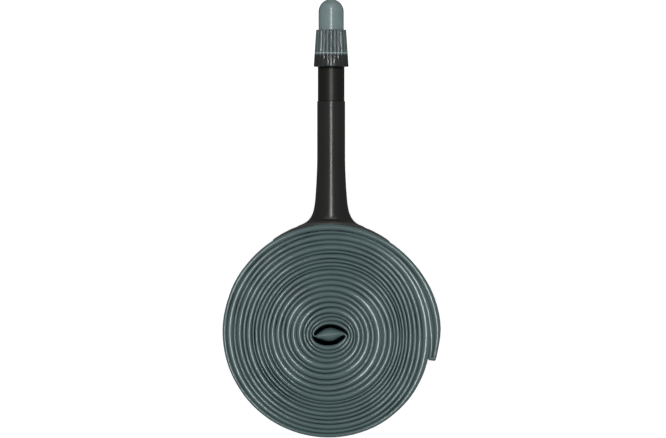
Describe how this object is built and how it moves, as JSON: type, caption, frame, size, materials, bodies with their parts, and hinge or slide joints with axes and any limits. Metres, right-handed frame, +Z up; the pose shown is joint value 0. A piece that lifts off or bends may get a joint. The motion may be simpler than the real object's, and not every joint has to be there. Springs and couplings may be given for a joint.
{
  "type": "inner tube",
  "caption": "Flattened thin-film bicycle inner tube wound into a doubled roll, with a slim smooth valve stem and a ribbed, domed dust cap.",
  "frame": {"origin": "middle of the roll on its lower end face, on the fold of the tube that crosses the eye of the roll, straight below the line of the valve", "axes": "+Z up along the roll's axis, +Y along the valve from the roll to the tip of the dust cap, +X to the side where the outer end of the tube lies"},
  "size_m": [0.0477, 0.0965, 0.038],
  "materials": {
    "film": "thin translucent grey thermoplastic film, satin",
    "black_resin": "smooth moulded, satin",
    "base_resin": "translucent smoky moulded, satin",
    "anodised": "black anodised",
    "nickel": "nickel plated",
    "rubber": "soft, matte",
    "clear_resin": "translucent grey moulded"
  },
  "bodies": {
    "tube_and_stem": {"rolled_tube": "film", "stem_base": "base_resin", "stem_sleeve": "black_resin", "threaded_insert": "anodised", "core_body": "nickel", "core_gasket": "rubber"},
    "needle": {"needle": "nickel", "needle_seal": "rubber", "seal_washer": "nickel"},
    "lock_nut": {"lock_nut": "nickel"},
    "dust_cap": {"dust_cap": "clear_resin"}
  },
  "joints": [
    {"name": "lock_nut_turn", "type": "hinge", "parent": "tube_and_stem", "child": "lock_nut", "pos_m": [0, 0.066, 0.019], "axis": [0, 1, 0], "range_deg": [0, 1800]},
    {"name": "needle_slide", "type": "slide", "parent": "tube_and_stem", "child": "needle", "axis": [0, -1, 0], "range_m": [0, 0.0025]},
    {"name": "cap_lift", "type": "slide", "parent": "tube_and_stem", "child": "dust_cap", "axis": [0, 1, 0], "range_m": [0, 0.02]}
  ],
  "couplings": [
    {"joint": "lock_nut_turn", "follows": "needle_slide", "rad_per_m": 12566}
  ]
}
